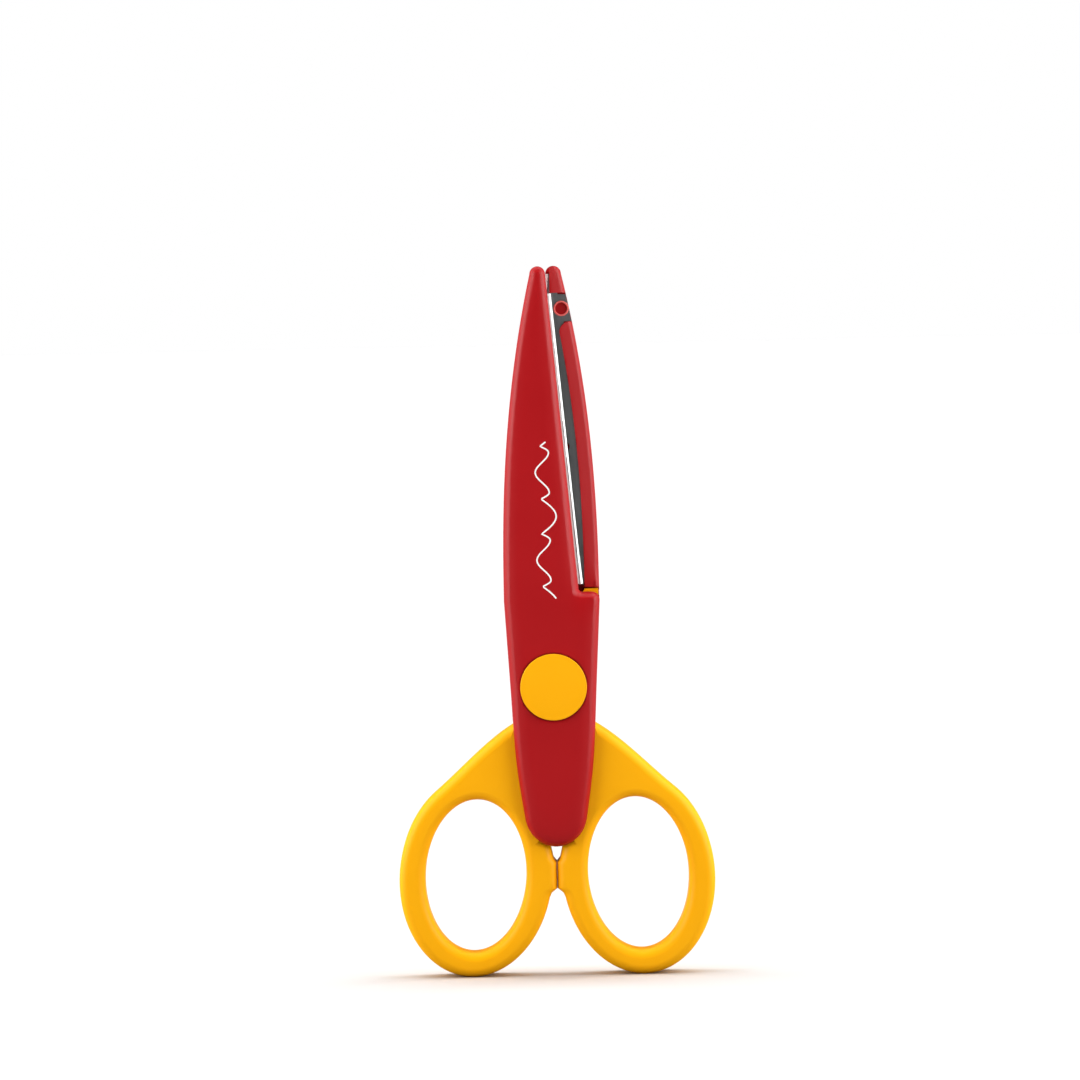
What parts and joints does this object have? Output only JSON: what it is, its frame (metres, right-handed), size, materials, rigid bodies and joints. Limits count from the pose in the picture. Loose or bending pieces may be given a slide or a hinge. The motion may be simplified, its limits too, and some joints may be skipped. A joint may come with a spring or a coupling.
{
  "type": "decorative edge scissors",
  "caption": "Children's craft scissors with a wavy cutting edge, red moulded blade covers, yellow finger loops and a round pivot cap, shown closed.",
  "frame": {"origin": "centre of the bounding box's bottom, under the two finger loops", "axes": "+Z along the closed blades to the tip, +X to the front arm's finger loop, the pivot axis along Y, the front face towards -Y"},
  "size_m": [0.0602, 0.0138, 0.135],
  "materials": {
    "red_plastic": "moulded, satin",
    "yellow_plastic": "moulded, satin",
    "blade_steel": "rolled sheet, cut edges bright",
    "zinc_plate": "zinc plated",
    "nylon": "natural"
  },
  "bodies": {
    "front_arm": {"front_body": "red_plastic", "front_handle": "yellow_plastic", "front_blade": "blade_steel", "front_tip_pin": "red_plastic", "front_middle_pin": "red_plastic", "front_heel_pin": "red_plastic", "front_pivot_cap": "yellow_plastic", "pivot_rivet": "zinc_plate", "thrust_washer": "nylon", "wave_washer": "zinc_plate", "burr_washer": "zinc_plate"},
    "rear_arm": {"rear_body": "red_plastic", "rear_handle": "yellow_plastic", "rear_blade": "blade_steel", "rear_tip_pin": "red_plastic", "rear_middle_pin": "red_plastic", "rear_heel_pin": "red_plastic", "rear_pivot_cap": "yellow_plastic"}
  },
  "joints": [
    {"name": "pivot", "type": "hinge", "parent": "front_arm", "child": "rear_arm", "pos_m": [0, 0, 0.05535], "axis": [0, 1, 0], "range_deg": [0, 50]}
  ]
}
